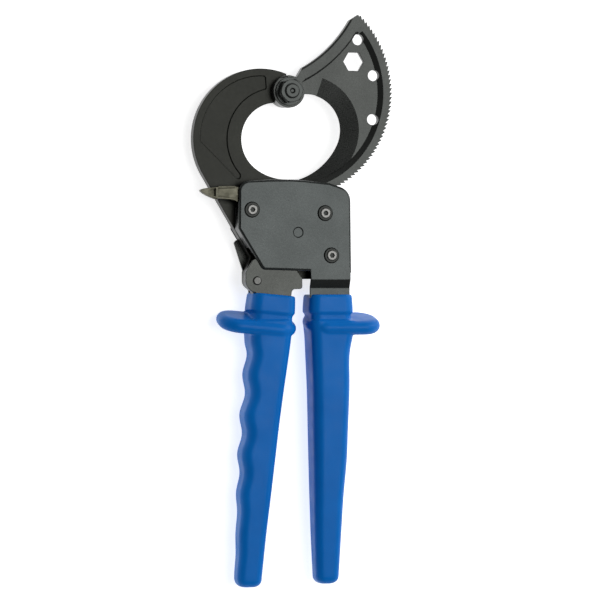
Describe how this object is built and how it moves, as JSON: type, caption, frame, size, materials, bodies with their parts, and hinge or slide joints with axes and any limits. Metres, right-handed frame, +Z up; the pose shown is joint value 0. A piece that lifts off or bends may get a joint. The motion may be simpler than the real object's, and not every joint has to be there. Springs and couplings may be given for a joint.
{
  "type": "ratchet cable cutter",
  "caption": "Hand cable cutter with a hooked fixed jaw, a toothed sickle blade driven by a ratchet, a sheet-metal housing, a release lever and two moulded grips with guards.",
  "frame": {"origin": "on the blade's pivot axis, in the plane of the pivot bolt head that the tool rests on", "axes": "+X to the right as seen from the front cover, +Y from the grips to the jaw, +Z up from the rest plane out of the front cover"},
  "size_m": [0.1107, 0.3112, 0.026],
  "materials": {
    "jaw_steel": "blackened forged steel, satin, oil-dark",
    "blade_steel": "blackened ground steel, satin, brighter where ground",
    "cover_steel": "grey-black phosphated sheet, fine satin grain",
    "lever_steel": "grey-black phosphated sheet, satin",
    "hardware_black": "blackened bolt, nut and washer steel",
    "screw_steel": "blackened screws with a bright worn ring",
    "bright_steel": "bright turned steel",
    "spring_steel": "drawn spring wire",
    "yellow_zinc": "olive-yellow chromated sheet",
    "blue_grip": "glossy blue moulded plastic"
  },
  "bodies": {
    "frame": {"fixed_jaw": "jaw_steel", "front_cover": "cover_steel", "rear_cover": "cover_steel", "cover_screws": "screw_steel", "cover_nuts": "screw_steel", "front_sleeves": "bright_steel", "rear_sleeves": "bright_steel", "pivot_bolt": "hardware_black", "pivot_rear_washer": "hardware_black", "pivot_front_washer": "hardware_black", "pivot_nut": "hardware_black", "frame_core": "lever_steel", "frame_rivets": "bright_steel", "right_grip": "blue_grip", "handle_return_spring": "spring_steel", "holding_pawl_spring": "spring_steel"},
    "blade": {"moving_blade": "blade_steel"},
    "moving_handle": {"lever_front_plate": "lever_steel", "lever_rear_plate": "lever_steel", "lever_core": "lever_steel", "lever_pivot_pin": "bright_steel", "lever_rivets": "bright_steel", "drive_pawl_pin": "bright_steel", "drive_pawl_spring": "spring_steel", "left_grip": "blue_grip"},
    "drive_pawl": {"drive_pawl": "lever_steel"},
    "holding_pawl": {"holding_pawl": "lever_steel"},
    "release_lever": {"release_lever": "yellow_zinc"}
  },
  "joints": [
    {"name": "blade_pivot", "type": "hinge", "parent": "frame", "child": "blade", "pos_m": [0, 0, 0.016], "axis": [0, 0, 1], "range_deg": [-139.2, 96]},
    {"name": "handle_pivot", "type": "hinge", "parent": "frame", "child": "moving_handle", "pos_m": [-0.0185, -0.1026, 0.013], "axis": [0, 0, 1], "range_deg": [-22, 9.2], "stiffness_Nm_per_rad": 0.6, "deforming": ["handle_return_spring"]},
    {"name": "drive_pawl_pivot", "type": "hinge", "parent": "moving_handle", "child": "drive_pawl", "pos_m": [0.0041, -0.0764, 0.016], "axis": [0, 0, 1], "range_deg": [-2.5, 2], "stiffness_Nm_per_rad": 0.02, "deforming": ["drive_pawl_spring"]},
    {"name": "release_lever_pivot", "type": "hinge", "parent": "frame", "child": "release_lever", "pos_m": [-0.0218, -0.0643, 0.016], "axis": [0, 0, 1], "range_deg": [-6, 2.5], "stiffness_Nm_per_rad": 0.03},
    {"name": "holding_pawl_pivot", "type": "hinge", "parent": "frame", "child": "holding_pawl", "pos_m": [-0.0218, -0.0643, 0.016], "axis": [0, 0, 1], "range_deg": [-6, 2.5], "stiffness_Nm_per_rad": 0.01, "deforming": ["holding_pawl_spring"]}
  ],
  "couplings": [
    {"joint": "holding_pawl_pivot", "follows": "release_lever_pivot", "ratio": 1}
  ]
}
